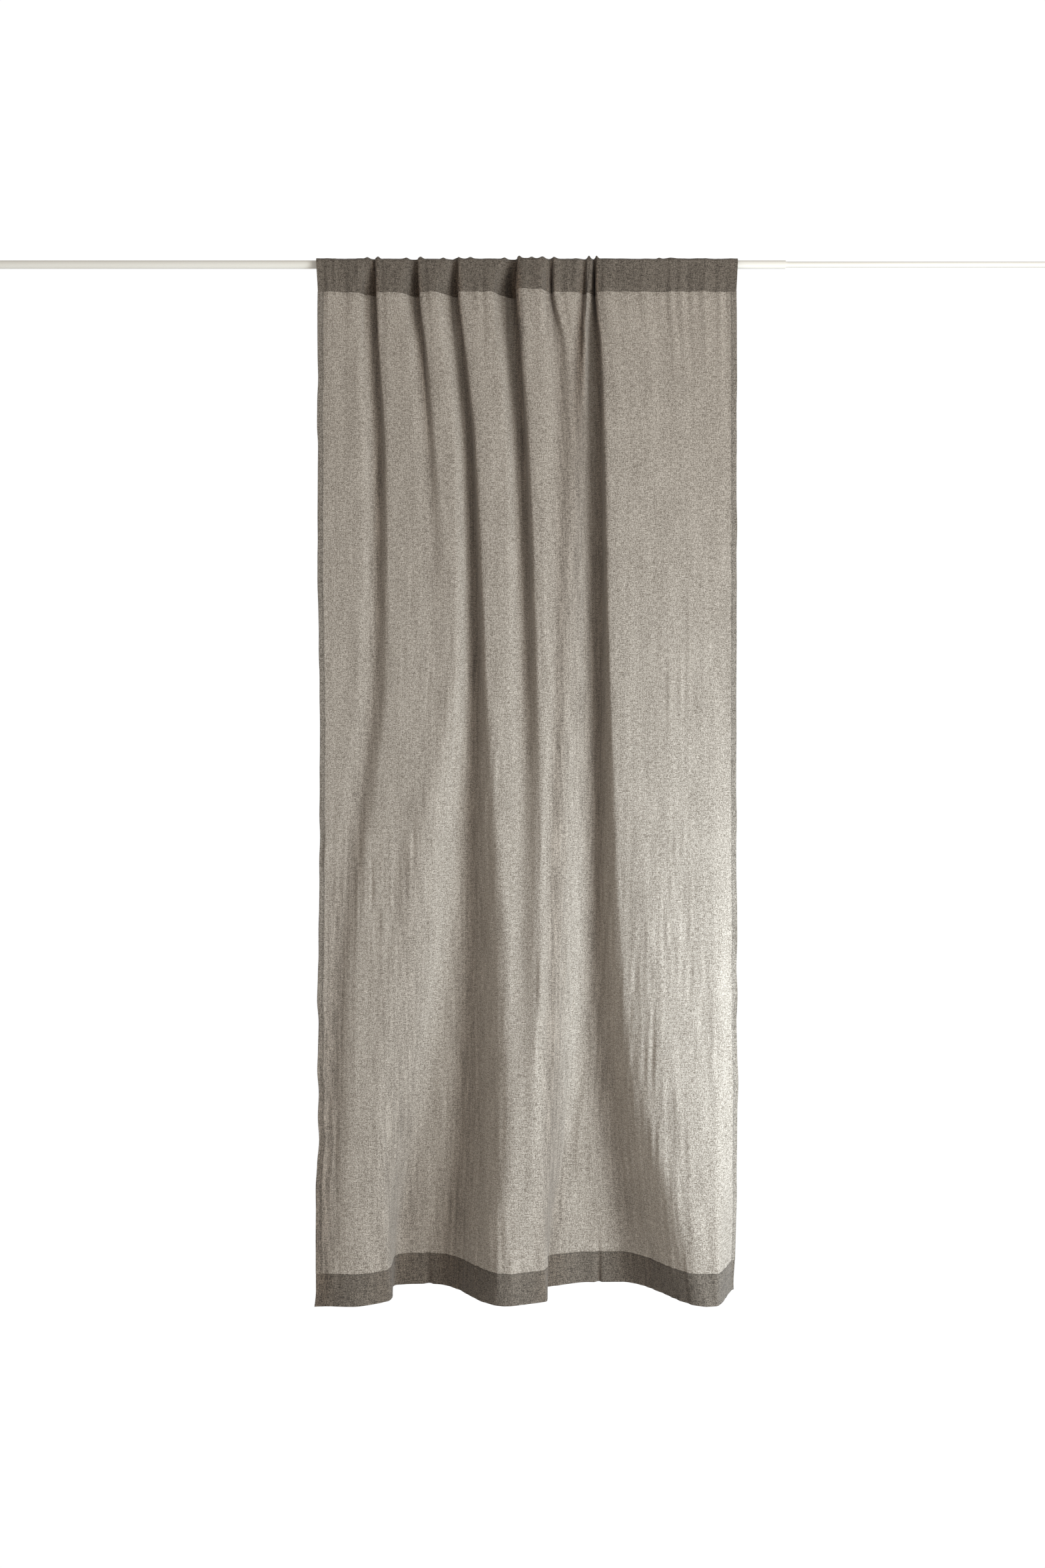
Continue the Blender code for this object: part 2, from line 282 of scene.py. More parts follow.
@dataclass(frozen=True)
class Linen:
    """Plain-woven washed linen of mixed brown and grey yarn."""

    name: str
    pale: Colour = (0.645, 0.565, 0.478)
    deep: Colour = (0.150, 0.121, 0.093)
    # painted shade: the darker colours that the folds' shade is painted in
    shaded_pale: Colour = (0.175, 0.116, 0.072)
    shaded_deep: Colour = (0.022, 0.013, 0.008)
    # painted shade: the darker colours painted on doubled cloth, for the light that its second layer
    # keeps out
    painted_hem_shade_pale: Colour = (0.110, 0.078, 0.050)
    painted_hem_shade_deep: Colour = (0.016, 0.010, 0.006)
    glow: Colour = (0.62, 0.54, 0.45)
    see_through: float = 0.20
    roughness: float = 0.88
    threads_in_a_metre: float = 620.0
    thread_waver: float = 0.0004
    relief: float = 0.28 * MILLIMETRE
    # how far the painted shade of doubled cloth darkens it
    painted_hem_shade_share: float = 0.74
    # How many cells the yarn's unevenness has in a metre across and down the flat cloth
    warp_cells: Cells = (340.0, 90.0, 1.0)
    weft_cells: Cells = (60.0, 340.0, 1.0)
    fleck_cells: Cells = (400.0, 330.0, 1.0)
    cloud_cells: Cells = (26.0, 9.0, 1.0)
    crinkle_cells: Cells = (120.0, 9.0, 1.0)

    def material(self) -> bpy.types.Material:
        """Weaves the cloth's colour, with painted shade in its folds and on doubled hems, and its
        relief.

        Returns:
            The material, which reads the attributes flat, doubled and sheltered; the last two carry
            painted shade.
        """
        s = Surface(self.name)
        flat = s.attribute("flat", "Vector")
        doubled = s.attribute("doubled")
        painted_shade = s.attribute("painted_shade")

        warp = s.noise(flat, self.warp_cells, 3.0)
        weft = s.noise(flat, self.weft_cells, 3.0)
        fleck = s.noise(flat, self.fleck_cells, 2.0)
        cloudy = s.noise(flat, self.cloud_cells, 3.0)
        crinkle = s.noise(flat, self.crinkle_cells, 3.0)
        # painted shade: the crinkles streak the colour more strongly where shade is painted
        crinkled = crinkle * (0.20 + painted_shade * 1.3)
        tone = 0.40 + warp * 0.62 + weft * 0.42 + fleck * 1.10 + cloudy * 0.15 + crinkled * 0.60
        yarn = s.blended(tone, rgba(self.deep), rgba(self.pale))
        # painted shade: doubled cloth gets darker colours, painted for the light that its second
        # layer keeps out
        painted_hem_shade = s.blended(tone, rgba(self.painted_hem_shade_deep), rgba(self.painted_hem_shade_pale))
        yarn_and_hem_shade = s.blended(doubled * self.painted_hem_shade_share, yarn, painted_hem_shade)
        # painted shade: the folds' shade is painted into the colour with these darker colours
        shadow = s.blended(tone, rgba(self.shaded_deep), rgba(self.shaded_pale))
        colour = s.blended(painted_shade, yarn_and_hem_shade, shadow)

        axes = s.node("SeparateXYZ", {}, {0: flat}, "X"), s.node("SeparateXYZ", {}, {0: flat}, "Y")
        across = s.wave(axes[0] + warp * self.thread_waver, self.threads_in_a_metre / 2)
        along = s.wave(axes[1] + weft * self.thread_waver, self.threads_in_a_metre / 2)
        height = across * along * 0.5 + warp * 0.8 + weft * 0.6 + crinkled * 4.0
        normal = s.bumped(height, self.relief)

        cloth = s.shader(
            {
                "Base Color": colour,
                "Roughness": self.roughness + fleck * 0.06,
                "Normal": normal,
                "Specular IOR Level": 0.18,
                "Sheen Weight": 0.12,
                "Sheen Roughness": 0.6,
            }
        )
        through = s.node("BsdfTranslucent", {}, {"Color": rgba(self.glow)})
        # the cloth lets less light through where it is doubled and where shade is painted
        share = self.see_through * (1.0 - doubled * 0.75) * (1.0 - painted_shade * 0.85)
        return s.finished(s.node("MixShader", {}, {0: share, 1: cloth, 2: through}))


@dataclass(frozen=True)
class Thread:
    """Twisted cotton sewing thread."""

    name: str
    colour: Colour = (0.150, 0.128, 0.100)
    plies_in_a_metre: float = 1400.0
    relief: float = 0.08 * MILLIMETRE

    def material(self) -> bpy.types.Material:
        """Spins the thread's colour and twist.

        Returns:
            The material.
        """
        s = Surface(self.name)
        place = s.node("TexCoord", {}, {}, "Object")
        tuft = s.noise(place, (900.0, 900.0, 900.0))
        axes = s.node("SeparateXYZ", {}, {0: place}, "X"), s.node("SeparateXYZ", {}, {0: place}, "Z")
        twist = s.wave(axes[0] + axes[1], self.plies_in_a_metre)
        darker = tuple(part * 0.55 for part in self.colour)
        inputs = {
            "Base Color": s.blended(0.5 + tuft * 0.5, rgba(darker), rgba(self.colour)),
            "Roughness": 0.7 + tuft * 0.1,
            "Normal": s.bumped(twist, self.relief),
            "Sheen Weight": 0.2,
        }
        return s.finished(s.shader(inputs))


@dataclass(frozen=True)
class Tape:
    """Woven satin tape, as a blank care label is cut from."""

    name: str
    colour: Colour = (0.80, 0.77, 0.70)
    ribs_in_a_metre: float = 1500.0
    relief: float = 0.06 * MILLIMETRE

    def material(self) -> bpy.types.Material:
        """Weaves the tape's fine ribs.

        Returns:
            The material, which reads the attribute flat.
        """
        s = Surface(self.name)
        flat = s.attribute("flat", "Vector")
        soil = s.noise(flat, (60.0, 60.0, 1.0), 3.0)
        down = s.node("SeparateXYZ", {}, {0: flat}, "Y")
        rib = s.wave(down, self.ribs_in_a_metre)
        worn = tuple(part * 0.82 for part in self.colour)
        inputs = {
            "Base Color": s.blended(0.5 + soil * 0.5, rgba(worn), rgba(self.colour)),
            "Roughness": 0.45 + soil * 0.08,
            "Normal": s.bumped(rib, self.relief),
            "Sheen Weight": 0.25,
        }
        return s.finished(s.shader(inputs))


@dataclass(frozen=True)
class Lacquer:
    """Cream lacquer on drawn steel tube, faintly scuffed along its length."""

    name: str
    colour: Colour = (0.91, 0.87, 0.80)
    roughness: float = 0.34
    coat: float = 0.35
    relief: float = 0.03 * MILLIMETRE

    def material(self) -> bpy.types.Material:
        """Sprays the tube.

        Returns:
            The material.
        """
        s = Surface(self.name)
        place = s.node("TexCoord", {}, {}, "Object")
        drift = s.noise(place, (3.0, 60.0, 60.0), 2.0)
        peel = s.noise(place, (260.0, 260.0, 260.0), 1.0)
        scuff = s.noise(place, (40.0, 900.0, 900.0), 3.0)
        aged = (self.colour[0] * 0.93, self.colour[1] * 0.90, self.colour[2] * 0.84)
        inputs = {
            "Base Color": s.blended(0.55 + drift * 0.45, rgba(aged), rgba(self.colour)),
            "Roughness": self.roughness + scuff * 0.10 + drift * 0.04,
            "Normal": s.bumped(peel, self.relief),
            "Coat Weight": self.coat,
            "Coat Roughness": 0.2,
        }
        return s.finished(s.shader(inputs))


@dataclass(frozen=True)
class Moulded:
    """Injection-moulded plastic with a fine spark-eroded grain."""

    name: str
    colour: Colour = (0.88, 0.85, 0.79)
    roughness: float = 0.5
    relief: float = 0.04 * MILLIMETRE

    def material(self) -> bpy.types.Material:
        """Moulds the plastic.

        Returns:
            The material.
        """
        s = Surface(self.name)
        place = s.node("TexCoord", {}, {}, "Object")
        grain = s.noise(place, (1600.0, 1600.0, 1600.0), 2.0)
        flow = s.noise(place, (30.0, 90.0, 90.0), 2.0)
        duller = tuple(part * 0.9 for part in self.colour)
        inputs = {
            "Base Color": s.blended(0.5 + flow * 0.5, rgba(duller), rgba(self.colour)),
            "Roughness": self.roughness + grain * 0.06,
            "Normal": s.bumped(grain, self.relief),
        }
        return s.finished(s.shader(inputs))


class Slot(Enum):
    """The record's names for the finishes."""

    LINEN = "linen"
    DOUBLED_LINEN = "doubled_linen"
    THREAD = "thread"
    LABEL_TAPE = "label_tape"
    ROD_LACQUER = "rod_lacquer"
    ROD_PLASTIC = "rod_plastic"


class Wardrobe:
    """Makes each finish once and dresses pieces in it."""

    FINISHES = {
        Slot.LINEN: Linen("washed_linen"),
        Slot.DOUBLED_LINEN: Linen("doubled_linen"),
        Slot.THREAD: Thread("sewing_thread"),
        Slot.LABEL_TAPE: Tape("satin_tape"),
        Slot.ROD_LACQUER: Lacquer("cream_lacquer"),
        Slot.ROD_PLASTIC: Moulded("cream_plastic"),
    }

    def __init__(self) -> None:
        """Starts with nothing made."""
        self.made: dict[Slot, bpy.types.Material] = {}

    def dress(self, piece: bpy.types.Object, slot: Slot) -> bpy.types.Object:
        """Gives a piece a finish in place of any that it has.

        Args:
            piece: The piece.
            slot: The finish.

        Returns:
            The piece.
        """
        if slot not in self.made:
            self.made[slot] = self.FINISHES[slot].material()
        piece.data.materials.clear()
        piece.data.materials.append(self.made[slot])
        return piece


# ----------------------------------------------------------------------------- the hung surface


@dataclass(frozen=True)
class Turn:
    """Where the cloth turns between the front and the back of a fold, at each of LEVELS.

    run is the turn's width, and lean how far the cloth overhangs itself there.
    """

    at: Levels
    run: Levels
    lean: Levels = NOWHERE

    def share(self, x: np.ndarray, down: np.ndarray) -> np.ndarray:
        """Returns how far the cloth has turned at x: 0 before the turn and 1 after it."""
        return ease((x - follow(self.at, down)) / follow(self.run, down) + 0.5)

    def shift(self, x: np.ndarray, down: np.ndarray) -> np.ndarray:
        """Makes the cloth overhang itself in the turn.

        Args:
            x: Places across, before the shift.
            down: Heights below the rod's axis.

        Returns:
            The sideways shift at each place.
        """
        if not any(self.lean):
            return 0 * x
        t = (x - follow(self.at, down)) / follow(self.run, down)
        return -follow(self.lean, down) * 2 * t * np.exp(0.5 - 2 * t * t)


@dataclass(frozen=True)
class Fold:
    """A stretch of cloth that stands back from the room, or forward where depth is below 0.

    shade is how strongly shade is painted into the colour just before the fold's front turn, and
    shade_width how far that reaches to the left.
    """

    back: Turn
    front: Turn
    depth: Levels
    shade: Levels = NOWHERE
    shade_width: Levels = (0.03,) * len(LEVELS)

    def stand_back(self, x: np.ndarray, down: np.ndarray) -> np.ndarray:
        """Returns how far this fold stands back at x."""
        return follow(self.depth, down) * (self.back.share(x, down) - self.front.share(x, down))

    def paint_shade(self, x: np.ndarray, down: np.ndarray) -> np.ndarray:
        """Paints fold shade: deepest just before the front turn, soft to the left, sharp to the
        right.

        Args:
            x: Places across.
            down: Heights below the rod's axis.

        Returns:
            How much shade the fold paints on the cloth at each place, from 0 to 1.
        """
        if not any(self.shade):
            return 0 * x
        run = follow(self.front.run, down)
        deepest = follow(self.front.at, down) - 0.35 * run
        left = hump(x - deepest, follow(self.shade_width, down))
        right = hump(x - deepest, np.minimum(0.75 * run, 0.012 + 0.30 * run))
        return follow(self.shade, down) * np.where(x < deepest, left, right)


FOLDS = (
    Fold(  # the one nearest the left-hand edge, which runs out into the edge lower down
        back=Turn(
            at=(-0.380, -0.392, -0.388, -0.376, -0.388, -0.425, -0.462, -0.486, -0.494, -0.497),
            run=(0.030, 0.060, 0.055, 0.045, 0.050, 0.055, 0.060, 0.060, 0.060, 0.060),
        ),
        front=Turn(
            at=(-0.362, -0.361, -0.357, -0.346, -0.350, -0.385, -0.425, -0.445, -0.455, -0.460),
            run=(0.008, 0.014, 0.020, 0.026, 0.036, 0.045, 0.055, 0.070, 0.080, 0.080),
            lean=(0.003, 0.007, 0.006, 0.003, 0.0, 0.0, 0.0, 0.0, 0.0, 0.0),
        ),
        depth=(0.010, 0.034, 0.030, 0.024, 0.014, 0.012, 0.012, 0.012, 0.008, 0.004),
        shade=(0.50, 0.80, 0.64, 0.58, 0.42, 0.36, 0.46, 0.58, 0.60, 0.50),
        shade_width=(0.010, 0.016, 0.018, 0.020, 0.022, 0.030, 0.040, 0.050, 0.050, 0.050),
    ),
    Fold(  # a short one, whose painted shade runs on as a soft hollow above the left-hand arch, with no depth
        back=Turn(
            at=(-0.280, -0.290, -0.268, -0.250, -0.235, -0.225, -0.220, -0.220, -0.220, -0.220),
            run=(0.030, 0.055, 0.050, 0.045, 0.050, 0.050, 0.050, 0.050, 0.050, 0.050),
        ),
        front=Turn(
            at=(-0.2610, -0.2595, -0.2455, -0.2265, -0.200, -0.210, -0.230, -0.250, -0.255, -0.260),
            run=(0.008, 0.013, 0.018, 0.028, 0.080, 0.100, 0.120, 0.140, 0.140, 0.140),
            lean=(0.003, 0.006, 0.005, 0.001, 0.0, 0.0, 0.0, 0.0, 0.0, 0.0),
        ),
        depth=(0.010, 0.032, 0.024, 0.012, 0.004, 0.002, 0.0, 0.0, 0.0, 0.0),
        shade=(0.45, 0.80, 0.66, 0.36, 0.12, 0.20, 0.30, 0.38, 0.44, 0.30),
        shade_width=(0.010, 0.013, 0.014, 0.018, 0.040, 0.060, 0.070, 0.070, 0.070, 0.070),
    ),
    Fold(  # the left-hand deep fold, which opens into the left-hand arch of the hem
        back=Turn(
            at=(-0.188, -0.198, -0.184, -0.157, -0.150, -0.185, -0.240, -0.298, -0.321, -0.326),
            run=(0.026, 0.052, 0.050, 0.040, 0.050, 0.110, 0.150, 0.140, 0.085, 0.060),
            lean=(0.0, 0.0, 0.0, 0.0, 0.0, 0.0, 0.0, 0.004, 0.018, 0.025),
        ),
        front=Turn(
            at=(-0.165, -0.163, -0.149, -0.126, -0.112, -0.109, -0.099, -0.099, -0.120, -0.131),
            run=(0.008, 0.014, 0.018, 0.026, 0.036, 0.066, 0.110, 0.140, 0.155, 0.165),
            lean=(0.003, 0.007, 0.007, 0.006, 0.003, 0.0, 0.0, 0.0, 0.0, 0.0),
        ),
        depth=(0.010, 0.034, 0.036, 0.040, 0.044, 0.052, 0.072, 0.090, 0.082, 0.072),
        shade=(0.50, 0.80, 0.66, 0.62, 0.60, 0.48, 0.44, 0.48, 0.48, 0.34),
        shade_width=(0.010, 0.015, 0.017, 0.018, 0.022, 0.026, 0.032, 0.040, 0.045, 0.045),
    ),
    Fold(  # the middle one, whose right-hand side becomes the panel's brightest ridge
        back=Turn(
            at=(-0.050, -0.062, -0.052, -0.032, -0.020, -0.020, -0.020, -0.030, -0.040, -0.040),
            run=(0.030, 0.060, 0.050, 0.045, 0.060, 0.060, 0.060, 0.060, 0.060, 0.060),
        ),
        front=Turn(
            at=(-0.0215, -0.020, -0.014, 0.000, 0.013, 0.016, 0.016, 0.010, 0.0, 0.0),
            run=(0.008, 0.014, 0.018, 0.022, 0.030, 0.044, 0.050, 0.050, 0.050, 0.050),
            lean=(0.004, 0.009, 0.007, 0.004, 0.003, 0.001, 0.0, 0.0, 0.0, 0.0),
        ),
        depth=(0.012, 0.040, 0.038, 0.030, 0.020, 0.009, 0.004, 0.002, 0.0, 0.0),
        shade=(0.55, 0.88, 0.74, 0.64, 0.40, 0.10, 0.0, 0.0, 0.0, 0.0),
        shade_width=(0.012, 0.020, 0.020, 0.018, 0.020, 0.020, 0.020, 0.020, 0.020, 0.020),
    ),
    Fold(  # the ridge that the middle fold throws forward under the heading
        back=Turn(
            at=(-0.0205, -0.019, -0.013, 0.002, 0.012, 0.006, 0.000, -0.016, -0.020, -0.020),
            run=(0.010, 0.016, 0.020, 0.026, 0.040, 0.060, 0.060, 0.060, 0.060, 0.060),
        ),
        front=Turn(
            at=(0.045, 0.044, 0.055, 0.058, 0.058, 0.054, 0.050, 0.022, 0.016, 0.016),
            run=(0.030, 0.040, 0.050, 0.050, 0.040, 0.034, 0.032, 0.036, 0.046, 0.050),
        ),
        depth=(-0.003, -0.016, -0.012, -0.009, -0.012, -0.015, -0.015, -0.011, -0.006, 0.0),
    ),
    Fold(  # a slight one under the heading, whose painted shade runs on down to the foot, past where its depth ends
        back=Turn(
            at=(0.046, 0.047, 0.058, 0.074, 0.086, 0.090, 0.090, 0.090, 0.090, 0.090),
            run=(0.020, 0.030, 0.032, 0.040, 0.050, 0.050, 0.050, 0.050, 0.050, 0.050),
        ),
        front=Turn(
            at=(0.0625, 0.063, 0.088, 0.096, 0.096, 0.090, 0.092, 0.094, 0.100, 0.100),
            run=(0.008, 0.014, 0.026, 0.036, 0.050, 0.060, 0.080, 0.100, 0.120, 0.120),
            lean=(0.002, 0.004, 0.001, 0.0, 0.0, 0.0, 0.0, 0.0, 0.0, 0.0),
        ),
        depth=(0.008, 0.020, 0.009, 0.006, 0.003, 0.0, 0.0, 0.0, 0.0, 0.0),
        shade=(0.34, 0.55, 0.36, 0.38, 0.42, 0.50, 0.52, 0.52, 0.50, 0.28),
        shade_width=(0.010, 0.012, 0.018, 0.020, 0.020, 0.018, 0.020, 0.028, 0.038, 0.040),
    ),
    Fold(  # the shallow side of the deep right-hand fold, left of its small pleat
        back=Turn(
            at=(0.126, 0.124, 0.116, 0.116, 0.120, 0.120, 0.120, 0.120, 0.120, 0.120),
            run=(0.022, 0.036, 0.036, 0.040, 0.040, 0.040, 0.040, 0.040, 0.040, 0.040),
        ),
        front=Turn(
            at=(0.1395, 0.138, 0.135, 0.134, 0.136, 0.140, 0.140, 0.140, 0.140, 0.140),
            run=(0.008, 0.011, 0.018, 0.030, 0.040, 0.040, 0.040, 0.040, 0.040, 0.040),
            lean=(0.001, 0.003, 0.002, 0.0, 0.0, 0.0, 0.0, 0.0, 0.0, 0.0),
        ),
        depth=(0.008, 0.022, 0.014, 0.004, 0.0, 0.0, 0.0, 0.0, 0.0, 0.0),
        shade=(0.30, 0.66, 0.84, 0.50, 0.20, 0.12, 0.0, 0.0, 0.0, 0.0),
        shade_width=(0.008, 0.010, 0.016, 0.022, 0.022, 0.022, 0.022, 0.022, 0.022, 0.022),
    ),
    Fold(  # the right-hand deep fold, which opens into the right-hand arch of the hem
        back=Turn(
            at=(0.155, 0.155, 0.148, 0.132, 0.130, 0.125, 0.108, 0.078, 0.052, 0.046),
            run=(0.010, 0.016, 0.030, 0.060, 0.080, 0.110, 0.130, 0.115, 0.070, 0.045),
            lean=(0.0, 0.0, 0.0, 0.0, 0.0, 0.0, 0.0, 0.006, 0.016, 0.020),
        ),
        front=Turn(
            at=(0.1655, 0.1665, 0.178, 0.185, 0.189, 0.190, 0.193, 0.226, 0.292, 0.334),
            run=(0.008, 0.012, 0.016, 0.022, 0.032, 0.048, 0.070, 0.110, 0.165, 0.195),
            lean=(0.003, 0.007, 0.008, 0.007, 0.006, 0.002, 0.0, 0.0, 0.0, 0.0),
        ),
        depth=(0.012, 0.038, 0.044, 0.050, 0.054, 0.054, 0.056, 0.062, 0.062, 0.058),
        shade=(0.55, 0.90, 0.72, 0.60, 0.58, 0.54, 0.46, 0.44, 0.38, 0.24),
        shade_width=(0.008, 0.009, 0.014, 0.026, 0.040, 0.044, 0.036, 0.040, 0.045, 0.045),
    ),
    Fold(  # the right-hand fold's long soft slope up to the flat part
        back=Turn(
            at=(0.130,) * 5 + (0.125, 0.108, 0.078, 0.052, 0.046),
            run=(0.080,) * 5 + (0.110, 0.130, 0.115, 0.070, 0.045),
        ),
        front=Turn(
            at=(0.200,) * 5 + (0.212, 0.240, 0.280, 0.325, 0.345),
            run=(0.060,) * 5 + (0.090, 0.150, 0.180, 0.170, 0.160),
        ),
        depth=(0.0, 0.0, 0.0, 0.0, 0.004, 0.012, 0.028, 0.036, 0.026, 0.018),
    ),
    Fold(  # the left lobe's rounding into the left-hand arch
        back=Turn(at=(-0.34,) * 8 + (-0.360, -0.370), run=(0.08,) * 8 + (0.095, 0.090)),
        front=Turn(at=(-0.097,) * 8 + (-0.122, -0.138), run=(0.140,) * 8 + (0.140, 0.134)),
        depth=(0.0, 0.0, 0.0, 0.0, 0.0, 0.0, 0.0, 0.010, 0.034, 0.048),
    ),
    Fold(  # the left-hand arch, which goes on deepening past its steep start
        back=Turn(at=(-0.29,) * 8 + (-0.295, -0.300), run=(0.09,) * 10),
        front=Turn(at=(-0.16,) * 8 + (-0.178, -0.186), run=(0.10,) * 10),
        depth=(0.0, 0.0, 0.0, 0.0, 0.0, 0.0, 0.0, 0.006, 0.014, 0.016),
    ),
    Fold(  # the middle lobe, which goes back a little before the right-hand arch
        back=Turn(at=(0.000,) * 10, run=(0.10,) * 10),
        front=Turn(at=(0.248,) * 8 + (0.302, 0.336), run=(0.135,) * 8 + (0.175, 0.200)),
        depth=(0.0, 0.0, 0.0, 0.0, 0.0, 0.0, 0.0, 0.008, 0.024, 0.034),
    ),
    Fold(  # the right-hand arch, which goes on deepening past its steep start
        back=Turn(at=(0.092,) * 10, run=(0.11,) * 10),
        front=Turn(at=(0.248,) * 8 + (0.292, 0.316), run=(0.135,) * 8 + (0.150, 0.160)),
        depth=(0.0, 0.0, 0.0, 0.0, 0.0, 0.0, 0.0, 0.010, 0.030, 0.040),
    ),
    Fold(  # a small pleat caught in the foot hem under the left-hand arch, its shade painted
        back=Turn(at=(-0.245,) * 10, run=(0.012,) * 10),
        front=Turn(at=(-0.233,) * 10, run=(0.007,) * 10),
        depth=(0.0,) * 9 + (0.007,),
        shade=(0.0,) * 9 + (0.42,),
        shade_width=(0.006,) * 10,
    ),
    Fold(  # a small pleat caught in the foot hem under the right-hand arch, its shade painted
        back=Turn(at=(0.170,) * 10, run=(0.012,) * 10),
        front=Turn(at=(0.182,) * 10, run=(0.007,) * 10),
        depth=(0.0,) * 9 + (0.007,),
        shade=(0.0,) * 9 + (0.42,),
        shade_width=(0.006,) * 10,
    ),
)


@dataclass(frozen=True)
class Wave:
    """Unevenness of one height, in millimetres, and one size, in metres across and down."""

    height: float
    cell: tuple[float, float]
    seed: int

    def at(self, across: np.ndarray, down: np.ndarray) -> np.ndarray:
        """Returns the wave's height at each place on the cloth."""
        return self.height * uneven(across, down, self.cell, self.seed)


# The cloth's small waves. PATCHES isn't a height: it says where the cloth is creased.
GATHERS = Wave(3.0, (0.014, 0.9), 3)
SWAYS = Wave(2.4, (0.040, 0.5), 4)
CREASES = Wave(1.40, (0.0115, 0.100), 5)
FINE_CREASES = Wave(0.50, (0.0075, 0.050), 6)
PATCHES = Wave(0.9, (0.11, 0.30), 7)
SWELLS = Wave(2.6, (0.085, 0.55), 8)
BUCKLES = Wave(1.5, (0.035, 0.075), 9)
PUCKERS = Wave(1.1, (0.0065, 0.12), 10)


@dataclass(frozen=True)
class Drape:
    """How the whole cloth hangs: from flat places to places in the room."""

    left: float
    right: float
    flat_width: float
    folds: tuple[Fold, ...] = FOLDS
    samples: int = 1800  # places across a level section at which it is measured
    curl: Levels = (0.0, 0.0, 0.0, 0.0, 0.003, 0.008, 0.016, 0.032, 0.072, 0.108)
    curl_width: float = 0.060
    gather_fade: float = 0.16
    edge_wander: float = 0.0016
    foot_flare: float = 0.007
    drawn_in: float = 0.0055

    def depth_at(self, x: np.ndarray, down: np.ndarray) -> np.ndarray:
        """Adds up the folds and the curl of the right-hand edge.

        Args:
            x: Places across.
            down: Heights below the rod's axis.

        Returns:
            How far the cloth stands back at each place, before it is centred under the rod.
        """
        total = follow(self.curl, down) * ease((x - self.right + self.curl_width) / self.curl_width)
        for fold in self.folds:
            total = total + fold.stand_back(x, down)
        return total

    def section(self, s: np.ndarray, level: np.ndarray) -> tuple[np.ndarray, np.ndarray]:
        """Returns the cloth's places across and back in level sections, for places s along it."""
        x = s + sum(fold.back.shift(s, level) + fold.front.shift(s, level) for fold in self.folds)
        return x, self.depth_at(s, level)

    def surface(self, across: np.ndarray, down: np.ndarray) -> tuple[np.ndarray, np.ndarray]:
        """Hangs a grid of flat places.

        Args:
            across: Distances from the cloth's left-hand edge, measured on the flat cloth.
            down: Heights below the rod's axis.

        Returns:
            The places as rows by columns by 3, and the cloth's normals there, level and towards
            the room.
        """
        level = down[:, None]
        s = np.linspace(self.left, self.right, self.samples)[None, :]
        x, y = self.section(s, level)
        dx, dy = np.gradient(x, axis=1), np.gradient(y, axis=1)
        step = np.hypot(dx, dy)
        length = step.copy()
        heading = down < SEAM_LEVEL  # the pocket's gathers are those of the seam below it
        if heading.any():
            seam_x, seam_y = self.section(s, np.array([[SEAM_LEVEL]]))
            length[heading] = np.hypot(np.gradient(seam_x, axis=1), np.gradient(seam_y, axis=1))
        arc = np.cumsum(length, axis=1) - length[:, :1]
        y = y - (y * step).sum(1, keepdims=True) / step.sum(1, keepdims=True)
        share = across / self.flat_width
        points = np.zeros((len(down), len(across), 3))
        normals = np.zeros_like(points)
        for row in range(len(down)):
            along = share * arc[row, -1]
            points[row, :, 0] = np.interp(along, arc[row], x[row])
            points[row, :, 1] = np.interp(along, arc[row], y[row])
            normals[row, :, 0] = np.interp(along, arc[row], dy[row] / step[row])
            normals[row, :, 1] = np.interp(along, arc[row], -dx[row] / step[row])
        points[:, :, 2] = -level
        points += normals * self.relief(across[None, :], level)[:, :, None]
        points[:, :, 0] += self.wander(across[None, :], level)
        return points, normals

    def relief(self, across: np.ndarray, down: np.ndarray) -> np.ndarray:
        """Adds up the cloth's small waves: gathers under the heading, and creases from washing.

        Args:
            across: Distances from the cloth's left-hand edge.
            down: Heights below the rod's axis.

        Returns:
            How far the cloth is raised towards the room at each place.
        """
        gather = np.exp(-np.maximum(down - SEAM_LEVEL, 0) / self.gather_fade)
        gather = gather * (0.35 + 0.65 * ease(down / SEAM_LEVEL))
        heading = GATHERS.at(across, down) * gather
        heading = heading + PUCKERS.at(across, down) * hump(down - 0.04, 0.06)
        heading = heading + SWAYS.at(across, down) * (0.4 + gather)
        lower = ease((down - 0.55) / 0.8)
        patchy = ease(0.5 + PATCHES.at(across, down))
        creases = CREASES.at(across + 0.02 * down, down) + FINE_CREASES.at(across, down)
        swells = SWELLS.at(across, down) * ease(down / 0.5)
        buckles = BUCKLES.at(across, down) * lower * patchy
        return MILLIMETRE * (heading + creases * (0.25 + lower * patchy) + swells + buckles)

    def wander(self, across: np.ndarray, down: np.ndarray) -> np.ndarray:
        """Makes the two side edges wander from straight, which fades into the panel.

        Args:
            across: Distances from the cloth's left-hand edge.
            down: Heights below the rod's axis.

        Returns:
            How far each place moves to the right.
        """
        from_right = across - self.flat_width
        left = uneven(0.5 + 0 * across, down, (1.0, 0.055), 11) * hump(across, 0.05)
        right = uneven(2.5 + 0 * across, down, (1.0, 0.070), 12) * hump(from_right, 0.05)
        lower = ease((down - 1.2) / 1.0)
        flare = -self.foot_flare * hump(across, 0.03) * ease((down - 2.43) / 0.06)
        drawn_in = self.drawn_in * hump(across, 0.20) * ease((down - 0.6) / 0.6)
        return self.edge_wander * (1 + 2.2 * lower) * (left + 0.7 * right) + flare + drawn_in

    def paint_shade(self, across: np.ndarray, down: np.ndarray) -> np.ndarray:
        """Paints the shade of all the folds together on a grid of flat places.

        Args:
            across: Distances from the cloth's left-hand edge, measured on the flat cloth.
            down: Heights below the rod's axis.

        Returns:
            How much shade is painted on each place, from 0 to 1.
        """
        points, _ = self.surface(across, down)
        x = points[:, :, 0]
        level = down[:, None]
        open_share = np.ones_like(x)
        for fold in self.folds:
            open_share *= 1 - fold.paint_shade(x, level)
        return 1 - open_share


